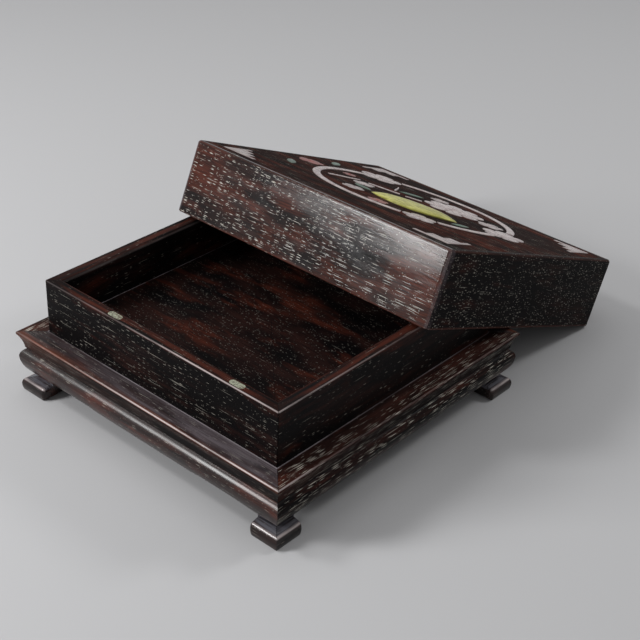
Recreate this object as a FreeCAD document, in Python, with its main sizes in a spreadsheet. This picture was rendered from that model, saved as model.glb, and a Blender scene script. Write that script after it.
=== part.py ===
import FreeCAD, Part
import Sketcher
import math
import os
import re
from FreeCAD import Vector

# A square hardwood box for an ink stick and stone: a shallow tray on a moulded
# plinth with four mitred feet, and a deep lid with an inlaid top. The lid is off
# the box and leans on it: its front wall perches on the tray's side rims and its
# back wall stands on the ground behind the plinth.

SIZES = {
    "tray_side": (160.0, "outside width and depth of the tray"),
    "tray_wall": (6.6, "thickness of the tray's walls"),
    "rim_height": (30.2, "height of the tray's walls above the ledge"),
    "rim_rounding": (0.5, "rounding of the rim's outer edge"),
    "rim_inner_rounding": (1.6, "rounding of the rim's inner edge"),
    "tray_corner": (0.8, "rounding of the tray's upright corners"),
    "floor_lift": (1.2, "gap between the ledge and the floor board"),
    "floor_thickness": (6.0, "thickness of the floor board"),
    "floor_tongue": (3.0, "depth of the floor board's seat in the walls"),
    "peg_length": (9.0, "length of an oval peg in the front rim"),
    "peg_width": (3.6, "width of an oval peg"),
    "peg_inset": (2.8, "a peg's middle line, in from the tray's face"),
    "peg_depth": (7.0, "depth of a peg's socket"),
    "left_peg_place": (30.2, "left peg, from the middle of the front wall"),
    "right_peg_place": (52.0, "right peg, from the middle of the front wall"),
    "ledge_overhang": (11.8, "how far the ledge stands out from the tray"),
    "ledge_width": (28.0, "width of a ledge member"),
    "ledge_thickness": (9.5, "thickness of a ledge member"),
    "ledge_nosing": (0.8, "rounding of the ledge's upper edge"),
    "ledge_fascia": (1.6, "height of the straight edge above the cove"),
    "cove_inset": (2.9, "depth of the cove under the ledge"),
    "cove_radius": (16.0, "radius of the cove"),
    "apron_height": (14.9, "height of the apron below the ledge"),
    "apron_back": (2.0, "how far the apron reaches in under the tray"),
    "waist_recess": (3.4, "depth of the waist, from the ledge's edge"),
    "waist_height": (0.9, "height of the waist"),
    "bulge_recess": (0.4, "the apron's fullest line, from the ledge's edge"),
    "bulge_drop": (5.5, "the apron's fullest line, below the ledge"),
    "bulge_upper_radius": (5.6, "radius of the bulge above its fullest line"),
    "bulge_lower_radius": (15.0, "radius of the bulge below its fullest line"),
    "hem_recess": (4.2, "the apron's lower edge, from the ledge's edge"),
    "scallop_rise": (2.8, "height of the two recesses in the apron's edge"),
    "drop_half": (32.0, "half length of the apron's deep middle"),
    "scallop_ramp": (8.0, "length of the curve up into a recess"),
    "scallop_fall": (12.4, "length of the curve down to a foot"),
    "ramp_lower_radius": (8.0, "radius of the lower half of that curve"),
    "ramp_upper_radius": (6.5, "radius of its upper half"),
    "fall_radius": (28.5, "radius of the curve down to a foot"),
    "foot_height": (11.0, "height of a foot"),
    "foot_length": (17.8, "length of a foot's wing, from the corner"),
    "foot_depth": (12.2, "thickness of a foot's wing"),
    "foot_recess": (0.6, "the foot's outer face, from the ledge's edge"),
    "neck_recess": (6.2, "depth of the neck above a foot"),
    "neck_height": (3.0, "height of that neck"),
    "shoulder_drop": (1.4, "fall of the foot's sloping upper face"),
    "shoulder_inset": (1.2, "that face's outer edge, from the foot's fullest line"),
    "belly_height": (3.4, "height of the foot's fullest line"),
    "belly_radius": (4.9, "radius of the curve above that line"),
    "sole_inset": (0.6, "how far the foot curves in at the ground"),
    "sole_radius": (9.9, "radius of the curve below the fullest line"),
    "foot_end_rounding": (2.0, "rounding of a wing's end"),
    "dowel_diameter": (3.0, "diameter of a foot's dowel"),
    "dowel_half": (5.0, "length of dowel in the foot, and in the apron"),
    "dowel_setback": (5.0, "a dowel's place, from the wing's inner end"),
    "dowel_outset": (2.6, "a dowel's place, out from the tray's face"),
    "key_width": (4.4, "width of a mitre key, across the joint"),
    "key_thickness": (1.6, "thickness of a mitre key"),
    "key_margin": (4.0, "how far a key stops below an upper edge"),
    "frame_key_thickness": (2.4, "thickness of a flat key in ledge or apron"),
    "frame_key_width": (12.0, "width of a flat key, across the joint"),
    "frame_key_length": (9.0, "length of a flat key, along the mitre"),
    "lid_clearance": (0.6, "gap between the tray's walls and the lid's"),
    "lid_wall": (6.0, "thickness of the lid's walls"),
    "lid_height": (40.3, "height of the lid"),
    "lid_panel": (8.5, "thickness of the lid's top panel"),
    "panel_seat": (3.0, "depth of the panel's rebate in the walls"),
    "lid_corner": (3.0, "rounding of the lid's upright corners"),
    "lid_edge": (1.6, "rounding of the lid's upper edges"),
    "lid_mouth": (0.6, "rounding of the lid's lower edges"),
    "perch_gap": (0.3, "gap under the leaning lid's edges"),
    "inlay_depth": (1.0, "depth of the inlay in the panel"),
    "inlay_relief": (0.25, "how far the inlay stands proud"),
    "ring_radius": (59.0, "outer radius of the inlaid ring"),
    "ring_width": (4.6, "width of the ring"),
    "ring_left": (2.0, "the ring's centre, left of the panel's middle"),
    "ring_back": (6.0, "the ring's centre, behind the panel's middle"),
    "spandrel_inset": (10.5, "corner piece, in from the lid's sides"),
    "spandrel_leg": (22.0, "length of a corner piece's leg"),
    "spandrel_tip": (2.8, "width of its tips"),
    "inlay_gap": (0.8, "wood left between the ring and a blossom"),
}

# Places worked out from the sizes. The lid leans: its front wall's inner edge lies
# over the rims, its back wall's outer edge over the ground, and its side walls pass
# the ledge's back corners. The origin is on the ground, under the middle of box and
# leaning lid together, so box_y moves the box back from it.
PLACES = {
    "tray_half": "tray_side / 2",
    "tray_inner": "tray_half - tray_wall",
    "wall_middle": "tray_half - tray_wall / 2",
    "peg_line": "tray_half - peg_inset",
    "ledge_half": "tray_half + ledge_overhang",
    "ledge_inner": "ledge_half - ledge_width",
    "foot_outer": "ledge_half - foot_recess",
    "foot_inner": "foot_outer - foot_depth",
    "foot_end": "foot_outer - foot_length",
    "apron_inner": "tray_half - apron_back",
    "apron_top": "foot_height + apron_height",
    "ledge_top": "apron_top + ledge_thickness",
    "rim_top": "ledge_top + rim_height",
    "floor_seat": "ledge_top + floor_lift",
    "tray_key_foot": "floor_seat + floor_thickness + key_margin",
    "tray_key_height": "rim_top - key_margin - tray_key_foot",
    "ledge_key_place": "ledge_inner + ledge_width / 2",
    "ledge_key_lift": "apron_top + ( ledge_thickness - frame_key_thickness ) / 2",
    "apron_key_place": "( apron_inner + ledge_half - hem_recess ) / 2",
    "apron_key_lift": "apron_top - apron_height / 2",
    "lid_inner": "tray_half + lid_clearance",
    "lid_half": "lid_inner + lid_wall",
    "lid_wall_middle": "lid_half - lid_wall / 2",
    "lid_ceiling": "lid_height - lid_panel",
    "lid_key_height": "lid_ceiling - 2 * key_margin",
    "panel_half": "lid_inner + panel_seat",
    "tilt": "asin(rim_top / (lid_half + lid_inner))",
    "lid_z": "rim_top + perch_gap - sin(tilt) * lid_inner",
    "lid_y": "ledge_half + (perch_gap + (ledge_top - lid_z) * cos(tilt)) / sin(tilt)",
    "inlay_margin": "panel_half - ring_left - ring_radius",
    "lid_reach": "lid_y + cos(tilt) * (lid_half - lid_edge)"
                 " + sin(tilt) * (lid_height - lid_edge) + lid_edge",
    "box_y": "(ledge_half - lid_reach) / 2",
}

doc = FreeCAD.newDocument("ink_stone_box")
sheet = doc.addObject("Spreadsheet::Sheet", "Sizes")
for row, (alias, (number, note)) in enumerate(SIZES.items(), start=1):
    sheet.set(f"A{row}", alias)
    sheet.set(f"B{row}", str(number))
    sheet.set(f"C{row}", note)
    sheet.setAlias(f"B{row}", alias)
places = doc.addObject("App::VarSet", "Places")
doc.recompute()


def size(alias):
    """Return a driving dimension as a number."""
    return float(sheet.get(alias))


def bound(text):
    """Turn a formula written with plain names into one the document reads."""
    def owner(match):
        word = match.group()
        if word in SIZES:
            return "Sizes." + word
        return "Places." + word if word in PLACES else word
    return re.sub(r"[a-z_]+", owner, text)


def value(text):
    """Work out such a formula as a number."""
    result = sheet.evalExpression(bound(text))
    return float(getattr(result, "Value", result))


for place, formula in PLACES.items():
    kind = "App::PropertyAngle" if place == "tilt" else "App::PropertyFloat"
    places.addProperty(kind, place)
    places.setExpression(place, bound(formula))
doc.recompute()

SIDE_NAMES = ("front", "right", "back", "left")
SIDES = {side: 360 * number / len(SIDE_NAMES) for number, side in enumerate(SIDE_NAMES)}
ENDS = {"left": -1, "right": 1}
MITRE_MARGIN = 5      # how far a mitre's cutting sketch runs past the wood
NEAR_HALF = 0.5001    # radius over width of a round end, a hair over a half circle's
PETAL_NOTCH = 0.72    # depth of a notch between petals, as a share of the radius
STEPS = 3             # steps of a corner piece
CORNERS = {("front", "left"): "front_left", ("front", "right"): "front_right",
           ("right", "left"): "front_right", ("right", "right"): "back_right",
           ("back", "left"): "back_right", ("back", "right"): "back_left",
           ("left", "left"): "back_left", ("left", "right"): "front_left"}


def box_place(turn=0):
    """Placement formula for a piece of the box, turned about the upright axis."""
    return bound(f"placement(vector(0; box_y; 0); rotation(vector(0; 0; 1); {turn}))")


def lid_place(turn=0):
    """Placement formula for a piece of the leaning lid."""
    return bound("placement(vector(0; lid_y + box_y; lid_z); rotation(vector(1; 0; 0); -tilt)"
                 f" * rotation(vector(0; 0; 1); {turn}))")


# Sketches and bodies

def new_body(name, placement):
    body = doc.addObject("PartDesign::Body", name)
    body.Label = name
    body.setExpression("Placement", placement)
    return body


def new_sketch(body, name, plane, lift="0"):
    """Put a sketch on one of the body's own planes, raised along its normal."""
    sketch = body.newObject("Sketcher::SketchObject", name)
    planes = [item for item in body.Origin.OriginFeatures if item.Role == plane]
    sketch.AttachmentSupport = [(planes[0], "")]
    sketch.MapMode = "FlatFace"
    sketch.setExpression("AttachmentOffset.Base.z", bound(lift))
    return sketch


def arc_between(first, last, radius, side):
    """Arc from first to last that bulges to the left (side 1) or the right (-1)."""
    chord = last - first
    across = Vector(-chord.y, chord.x, 0).normalize() * side
    inset = math.sqrt(radius ** 2 - (chord.Length / 2) ** 2)
    centre = (first + last) / 2 - across * inset
    begin, end = (last, first) if side > 0 else (first, last)
    angles = [math.atan2(point.y - centre.y, point.x - centre.x) for point in (begin, end)]
    if angles[1] < angles[0]:
        angles[1] += 2 * math.pi
    return Part.ArcOfCircle(Part.Circle(centre, Vector(0, 0, 1), radius), *angles)


def outline(sketch, corners):
    """Draw a closed outline whose corners are pairs of formulas.

    A corner may also give the radius and the side of the arc to the next one.
    """
    points = [Vector(value(corner[0]), value(corner[1]), 0) for corner in corners]
    starts = []
    ends = []
    for index, corner in enumerate(corners):
        first = points[index]
        last = points[(index + 1) % len(points)]
        if len(corner) == 2:
            edge = sketch.addGeometry(Part.LineSegment(first, last), False)
            starts.append((edge, 1))
            ends.append((edge, 2))
            continue
        radius, side = corner[2:]
        edge = sketch.addGeometry(arc_between(first, last, value(radius), side), False)
        starts.append((edge, 2 if side > 0 else 1))
        ends.append((edge, 1 if side > 0 else 2))
        bind(sketch, Sketcher.Constraint("Radius", edge, value(radius)), radius)
    for index, corner in enumerate(corners):
        sketch.addConstraint(Sketcher.Constraint("Coincident", *ends[index - 1], *starts[index]))
        bind(sketch, Sketcher.Constraint("DistanceX", *starts[index], points[index].x), corner[0])
        bind(sketch, Sketcher.Constraint("DistanceY", *starts[index], points[index].y), corner[1])


def bind(sketch, constraint, formula):
    """Add a constraint whose number follows a formula."""
    index = sketch.addConstraint(constraint)
    sketch.setExpression(f"Constraints[{index}]", bound(formula))


def pad(body, sketch, length, both_ways=False, backwards=False):
    feature = body.newObject("PartDesign::Pad", sketch.Name + "_pad")
    feature.Profile = sketch
    feature.setExpression("Length", bound(length))
    feature.Midplane = both_ways
    feature.Reversed = backwards
    sketch.Visibility = False
    return feature


def pocket(body, sketch, length=None, upwards=True):
    """Cut a sketch into the body, upwards by a length or all the way both ways."""
    doc.recompute()
    before = body.Shape.Volume
    feature = body.newObject("PartDesign::Pocket", sketch.Name + "_cut")
    feature.Profile = sketch
    if length is None:
        feature.Type = "ThroughAll"
        feature.Midplane = True
    else:
        feature.setExpression("Length", bound(length))
        feature.Reversed = upwards
    doc.recompute()
    if body.Shape.Volume > before - 0.01:
        raise RuntimeError(f"{feature.Name} cuts nothing")
    return feature


def round_edges(body, radius, chosen):
    """Round the edges of the body for which chosen(edge) is true."""
    doc.recompute()
    base = body.Tip
    names = [f"Edge{number}" for number, edge in enumerate(base.Shape.Edges, start=1)
             if chosen(edge)]
    if not names:
        raise RuntimeError(f"no edge to round on {body.Name}")
    fillet = body.newObject("PartDesign::Fillet", f"{body.Name}_rounding_{len(body.Group)}")
    fillet.Base = (base, names)
    fillet.setExpression("Radius", bound(radius))
    doc.recompute()
    return fillet


def long_edges(height, half, corner):
    """Return a test for a wall's outer level edge and the arcs that end it."""
    level = value(height)
    outer = -value(f"{half} - {corner} / 2")

    def test(edge):
        box = edge.BoundBox
        at_level = abs(box.ZMin - level) < 1e-4 and abs(box.ZMax - level) < 1e-4
        return at_level and edge.CenterOfMass.y < outer
    return test


def inner_edge(height, half, thickness):
    """Return a test for a wall's inner level edge."""
    level = value(height)
    line = -value(f"{half} - {thickness}")

    def test(edge):
        box = edge.BoundBox
        at_level = abs(box.ZMin - level) < 1e-4 and abs(box.ZMax - level) < 1e-4
        return at_level and abs(box.YMin - line) < 1e-4 and abs(box.YMax - line) < 1e-4
    return test


# Mitred walls, seen from above as seen from the front side

def wall_plan(half, thickness, corner="0"):
    """Plan of a mitred wall with rounded outer corners."""
    if value(corner) < 0.01:
        outer = [(f"- {half}", f"- {half}"), (half, f"- {half}")]
    else:
        cut = f"( {corner} * ( 1 - sqrt(0.5) ) )"
        outer = [(f"- {half} + {cut}", f"- {half} + {cut}", corner, -1),
                 (f"- {half} + {corner}", f"- {half}"),
                 (f"{half} - {corner}", f"- {half}", corner, -1),
                 (f"{half} - {cut}", f"- {half} + {cut}")]
    inner = f"( {half} - {thickness} )"
    return outer + [(inner, f"- {inner}"), (f"- {inner}", f"- {inner}")]


def key_plans(centre):
    """Plans of the two upright mitre keys at a wall's ends."""
    along = "( key_width / sqrt(8) )"
    across = "( key_thickness / sqrt(8) )"
    plans = []
    for sign in ("", "- "):
        plans.append([(f"{sign}( {centre} {u} {along} {v} {across} )",
                       f"- {centre} {u} {along} {w} {across}")
                      for u, v, w in (("+", "+", "-"), ("+", "-", "+"),
                                      ("-", "-", "+"), ("-", "+", "-"))])
    return plans


def groove(body, name, inner, depth, lift, height):
    """Cut a groove along a wall's inner face, from mitre to mitre."""
    sketch = new_sketch(body, name, "XY_Plane", lift)
    outline(sketch, wall_plan(f"( {inner} + {depth} )", depth))
    pocket(body, sketch, height)


def key_slots(body, centre, lift, height):
    for number, plan in enumerate(key_plans(centre)):
        sketch = new_sketch(body, f"{body.Name}_key_slot_{number}", "XY_Plane", lift)
        outline(sketch, plan)
        pocket(body, sketch, height)


def obround(centre_x, centre_y, length, width):
    """Plan of an oval with straight sides and round ends."""
    flat = f"( ( {length} - {width} ) / 2 )"
    bow = f"( {width} * {NEAR_HALF} )"
    return [(f"{centre_x} - {flat}", f"{centre_y} - {width} / 2"),
            (f"{centre_x} + {flat}", f"{centre_y} - {width} / 2", bow, -1),
            (f"{centre_x} + {flat}", f"{centre_y} + {width} / 2"),
            (f"{centre_x} - {flat}", f"{centre_y} + {width} / 2", bow, -1)]


PEGS = {"left": "( - left_peg_place )", "right": "right_peg_place"}


def tray_wall(side, turn):
    name = f"tray_{side}_wall"
    body = new_body(name, box_place(turn))
    sketch = new_sketch(body, f"{name}_plan", "XY_Plane", "ledge_top")
    outline(sketch, wall_plan("tray_half", "tray_wall", "tray_corner"))
    pad(body, sketch, "rim_height")
    groove(body, f"{name}_groove", "tray_inner", "floor_tongue", "floor_seat", "floor_thickness")
    key_slots(body, "wall_middle", "tray_key_foot", "tray_key_height")
    if side == "front":
        for end, place in PEGS.items():
            socket = new_sketch(body, f"{name}_{end}_socket", "XY_Plane", "rim_top")
            outline(socket, obround(place, "- peg_line", "peg_length", "peg_width"))
            pocket(body, socket, "peg_depth", upwards=False)
    round_edges(body, "rim_rounding", long_edges("rim_top", "tray_half", "tray_corner"))
    round_edges(body, "rim_inner_rounding", inner_edge("rim_top", "tray_half", "tray_wall"))
    return body


def rim_peg(end, place):
    body = new_body(f"{end}_rim_peg", box_place())
    sketch = new_sketch(body, f"{end}_rim_peg_plan", "XY_Plane", "( rim_top - peg_depth )")
    outline(sketch, obround(place, "- peg_line", "peg_length", "peg_width"))
    pad(body, sketch, "peg_depth")
    return body


def board(name, half, thickness, lift, placement):
    """A square board, centred on the box or the lid."""
    body = new_body(name, placement)
    sketch = new_sketch(body, f"{name}_plan", "XY_Plane", lift)
    outline(sketch, [(f"- {half}", f"- {half}"), (half, f"- {half}"),
                     (half, half), (f"- {half}", half)])
    pad(body, sketch, thickness)
    return body


def lid_wall(side, turn):
    name = f"lid_{side}_wall"
    body = new_body(name, lid_place(turn))
    sketch = new_sketch(body, f"{name}_plan", "XY_Plane")
    outline(sketch, wall_plan("lid_half", "lid_wall", "lid_corner"))
    pad(body, sketch, "lid_height")
    groove(body, f"{name}_rebate", "lid_inner", "panel_seat", "lid_ceiling", "lid_panel")
    key_slots(body, "lid_wall_middle", "key_margin", "lid_key_height")
    round_edges(body, "lid_edge", long_edges("lid_height", "lid_half", "lid_corner"))
    round_edges(body, "lid_mouth", long_edges("0", "lid_half", "lid_corner"))
    round_edges(body, "lid_mouth", inner_edge("0", "lid_half", "lid_wall"))
    return body


# Moulded members: a section along the side, mitred at both ends

def mitre_ends(body, inner, outer, ends=("", "- ")):
    for number, sign in enumerate(ends):
        sketch = new_sketch(body, f"{body.Name}_mitre_{number}", "XY_Plane")
        far = f"( {outer} + {MITRE_MARGIN} )"
        near = f"( {inner} - {MITRE_MARGIN} )"
        outline(sketch, [(f"{sign}{near}", f"- {near}"), (f"{sign}{far}", f"- {far}"),
                         (f"{sign}{far}", f"- {near}")])
        pocket(body, sketch)


def flat_key_slots(body, centre, lift):
    """Slots for the flat keys that lie across a moulded member's mitres."""
    along = "( frame_key_length / sqrt(8) )"
    across = "( frame_key_width / sqrt(8) )"
    for number, sign in enumerate(("", "- ")):
        sketch = new_sketch(body, f"{body.Name}_key_slot_{number}", "XY_Plane", lift)
        outline(sketch, [(f"{sign}( {centre} {u} {along} {v} {across} )",
                          f"- {centre} {w} {along} {z} {across}")
                         for u, v, w, z in (("+", "+", "-", "+"), ("-", "+", "+", "+"),
                                            ("-", "-", "+", "-"), ("+", "-", "-", "-"))])
        pocket(body, sketch, "frame_key_thickness")


def ledge_section():
    """Section of the ledge: nosing, short fascia and a cove that runs in below."""
    top = "ledge_top"
    edge = "- ledge_half"
    return [("- ledge_inner", top),
            (f"{edge} + ledge_nosing", top, "ledge_nosing", -1),
            (edge, f"{top} - ledge_nosing"),
            (edge, f"{top} - ledge_fascia", "cove_radius", 1),
            (f"{edge} + cove_inset", "apron_top"),
            ("- ledge_inner", "apron_top")]


def apron_section():
    """Section of the apron: a narrow waist over a full, rounded bulge."""
    edge = "- ledge_half"
    return [("- apron_inner", "apron_top"),
            (f"{edge} + waist_recess", "apron_top"),
            (f"{edge} + waist_recess", "apron_top - waist_height", "bulge_upper_radius", -1),
            (f"{edge} + bulge_recess", "apron_top - bulge_drop", "bulge_lower_radius", -1),
            (f"{edge} + hem_recess", "foot_height"),
            ("- apron_inner", "foot_height")]


def foot_section():
    """Section of a foot: neck, sloping shoulder and a full, rounded belly."""
    face = "- foot_outer"
    shoulder = "( foot_height - neck_height )"
    return [("- foot_inner", "foot_height"),
            (f"{face} + neck_recess", "foot_height"),
            (f"{face} + neck_recess", shoulder),
            (f"{face} + shoulder_inset", f"{shoulder} - shoulder_drop", "belly_radius", -1),
            (face, "belly_height", "sole_radius", -1),
            (f"{face} + sole_inset", "0"),
            ("- foot_inner", "0")]


def member(name, turn, section, inner):
    body = new_body(name, box_place(turn))
    sketch = new_sketch(body, f"{name}_section", "YZ_Plane")
    outline(sketch, section)
    pad(body, sketch, "2 * ledge_half", both_ways=True)
    mitre_ends(body, inner, "ledge_half")
    return body


def ledge_member(side, turn):
    body = member(f"ledge_{side}", turn, ledge_section(), "ledge_inner")
    flat_key_slots(body, "ledge_key_place", "ledge_key_lift")
    return body


def scallop(body, sign):
    """Cut one of the two shallow recesses in the apron's lower edge."""
    sketch = new_sketch(body, f"{body.Name}_scallop_{'left' if sign else 'right'}", "XZ_Plane")
    low = "foot_height"
    high = f"( {low} + scallop_rise )"
    below = f"( {low} - scallop_rise )"
    side = -1 if sign else 1
    ramp_middle = "( drop_half + scallop_ramp / 2 )"
    outline(sketch, [
        (f"{sign}drop_half", low, "ramp_lower_radius", side),
        (f"{sign}{ramp_middle}", f"{low} + scallop_rise / 2", "ramp_upper_radius", side),
        (f"{sign}( drop_half + scallop_ramp )", high),
        (f"{sign}( foot_end - scallop_fall )", high, "fall_radius", side),
        (f"{sign}foot_end", low),
        (f"{sign}foot_end", below),
        (f"{sign}drop_half", below)])
    pocket(body, sketch)


def dowel_place(sign):
    return (f"{sign}( foot_end + dowel_setback )", "- ( tray_half + dowel_outset )")


def dowel_hole(body, sign, lift, length):
    sketch = new_sketch(body, f"{body.Name}_dowel_{len(body.Group)}", "XY_Plane", lift)
    place = dowel_place(sign)
    centre = Vector(value(place[0]), value(place[1]), 0)
    radius = value("dowel_diameter / 2")
    edge = sketch.addGeometry(Part.Circle(centre, Vector(0, 0, 1), radius), False)
    bind(sketch, Sketcher.Constraint("DistanceX", edge, 3, centre.x), place[0])
    bind(sketch, Sketcher.Constraint("DistanceY", edge, 3, centre.y), place[1])
    bind(sketch, Sketcher.Constraint("Radius", edge, radius), "dowel_diameter / 2")
    pocket(body, sketch, length)


def apron_member(side, turn):
    body = member(f"apron_{side}", turn, apron_section(), "apron_inner")
    for sign in ("", "- "):
        scallop(body, sign)
        dowel_hole(body, sign, "foot_height", "dowel_half")
    flat_key_slots(body, "apron_key_place", "apron_key_lift")
    return body


def foot_wing(side, turn, end):
    """One of the two mitred halves of a foot, at one end of a side."""
    sign = "" if ENDS[end] > 0 else "- "
    body = new_body(f"{CORNERS[side, end]}_foot_{side}_wing", box_place(turn))
    sketch = new_sketch(body, f"{body.Name}_section", "YZ_Plane", f"{sign}foot_end")
    outline(sketch, foot_section())
    pad(body, sketch, "foot_length", backwards=ENDS[end] < 0)
    mitre_ends(body, "foot_inner", "foot_outer", (sign,))
    dowel_hole(body, sign, "( foot_height - dowel_half )", "dowel_half")
    place = ENDS[end] * value("foot_end")
    neck = value("foot_outer - neck_recess")

    def outer_end(edge):
        box = edge.BoundBox
        on_end = abs(box.XMin - place) < 1e-4 and abs(box.XMax - place) < 1e-4
        return on_end and box.YMin < -neck - 1e-4
    round_edges(body, "foot_end_rounding", outer_end)
    return body


# Groups of equal small pieces

def group(name, pieces):
    compound = doc.addObject("Part::Compound", name)
    compound.Label = name
    compound.Links = pieces
    return compound


def corner_keys(name, centre, lift, width, thickness, height, place):
    """Four equal keys, one across each mitre."""
    keys = []
    for side, turn in SIDES.items():
        key = doc.addObject("Part::Box", f"{name}_{side}")
        key.setExpression("Length", bound(thickness))
        key.setExpression("Width", bound(width))
        key.setExpression("Height", bound(height))
        spin = f"placement(vector(0; 0; 0); rotation(vector(0; 0; 1); {turn} + 45))"
        shift = (f"placement(vector({centre} * sqrt(2) - {thickness} / 2; - {width} / 2; {lift});"
                 " rotation(vector(0; 0; 1); 0))")
        key.setExpression("Placement", f"{place} * {spin} * {bound(shift)}")
        keys.append(key)
    return group(name, keys)


def foot_dowels():
    dowels = []
    for side, turn in SIDES.items():
        for end, side_sign in ENDS.items():
            sign = "" if side_sign > 0 else "- "
            across, along = dowel_place(sign)
            dowel = doc.addObject("Part::Cylinder", f"dowel_{side}_{end}")
            dowel.setExpression("Radius", bound("dowel_diameter / 2"))
            dowel.setExpression("Height", bound("2 * dowel_half"))
            shift = (f"placement(vector({across}; {along}; foot_height - dowel_half);"
                     " rotation(vector(0; 0; 1); 0))")
            dowel.setExpression("Placement", f"{box_place(turn)} * {bound(shift)}")
            dowels.append(dowel)
    return group("foot_dowels", dowels)


# The inlay in the lid's top: a ring with blossoms, leaves and twigs, and corner pieces

def prism(wire):
    """Raise a flat outline from the inlay's bed to its proud face."""
    bed = Vector(0, 0, size("lid_height") - size("inlay_depth"))
    face = Part.Face(wire)
    face.translate(bed)
    return face.extrude(Vector(0, 0, size("inlay_depth") + size("inlay_relief")))


def polar(centre, radius, degrees):
    angle = math.radians(degrees)
    return centre + Vector(radius * math.cos(angle), radius * math.sin(angle), 0)


def blossom(centre, radius, petals, turn):
    """A flower whose outline is one round arc for each petal."""
    step = 360 / petals
    notch = PETAL_NOTCH * radius
    edges = []
    for number in range(petals):
        start = turn + number * step
        edges.append(Part.Arc(polar(centre, notch, start), polar(centre, radius, start + step / 2),
                              polar(centre, notch, start + step)).toShape())
    return prism(Part.Wire(edges))


def leaf(centre, length, width, turn):
    """A pointed leaf made of two arcs."""
    tip = polar(centre, length / 2, turn)
    stem = polar(centre, -length / 2, turn)
    edges = [Part.Arc(stem, polar(centre, side * width / 2, turn + 90), tip).toShape()
             for side in (1, -1)]
    return prism(Part.Wire(edges))


def half_leaf(centre, length, width, turn, side, rib):
    """One side of a broad leaf that is split along its rib."""
    middle = polar(centre, side * rib / 2, turn + 90)
    tip = polar(middle, length / 2, turn)
    stem = polar(middle, -length / 2, turn)
    bow = Part.Arc(stem, polar(middle, side * width / 2, turn + 90), tip).toShape()
    return prism(Part.Wire([bow, Part.LineSegment(tip, stem).toShape()]))


def twig(start, end, thick, thin):
    """A straight tapering twig."""
    across = Vector(start.y - end.y, end.x - start.x, 0).normalize()
    corners = [start + across * thick / 2, end + across * thin / 2,
               end - across * thin / 2, start - across * thick / 2]
    return prism(Part.makePolygon(corners + corners[:1]))


def ring_piece(centre, first, last):
    """A stretch of the ring between two angles."""
    outer = size("ring_radius")
    inner = outer - size("ring_width")
    middle = (first + last) / 2
    edges = [Part.Arc(polar(centre, outer, first), polar(centre, outer, middle),
                      polar(centre, outer, last)).toShape(),
             Part.LineSegment(polar(centre, outer, last), polar(centre, inner, last)).toShape(),
             Part.Arc(polar(centre, inner, last), polar(centre, inner, middle),
                      polar(centre, inner, first)).toShape(),
             Part.LineSegment(polar(centre, inner, first), polar(centre, outer, first)).toShape()]
    return prism(Part.Wire(edges))


def spandrel(turn):
    """A corner piece: a triangle with a stepped long side."""
    corner = value("lid_half") - size("spandrel_inset")
    leg = size("spandrel_leg")
    tip = size("spandrel_tip")
    tread = (leg - tip) / STEPS
    steps = [(0, 0), (leg, 0), (leg, tip)]
    for number in range(1, STEPS + 1):
        across = leg - number * tread
        steps += [(across, tip + (number - 1) * tread), (across, tip + number * tread)]
    steps.append((0, leg))
    points = [Vector(corner - x, corner - y, 0) for x, y in steps]
    solid = prism(Part.makePolygon(points + points[:1]))
    solid.rotate(Vector(0, 0, 0), Vector(0, 0, 1), turn)
    return solid


def inlay(name, solids):
    """One node for all the inlay of one stuff."""
    feature = doc.addObject("Part::Feature", name)
    feature.Label = name
    feature.Shape = Part.makeCompound(solids)
    feature.setExpression("Placement", lid_place())
    return feature


def ring_gaps():
    """Where the blossoms break the ring: angle, and the blossom's radius."""
    return [(146, 13.0), (8, 12.0), (308, 9.5)]


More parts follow.
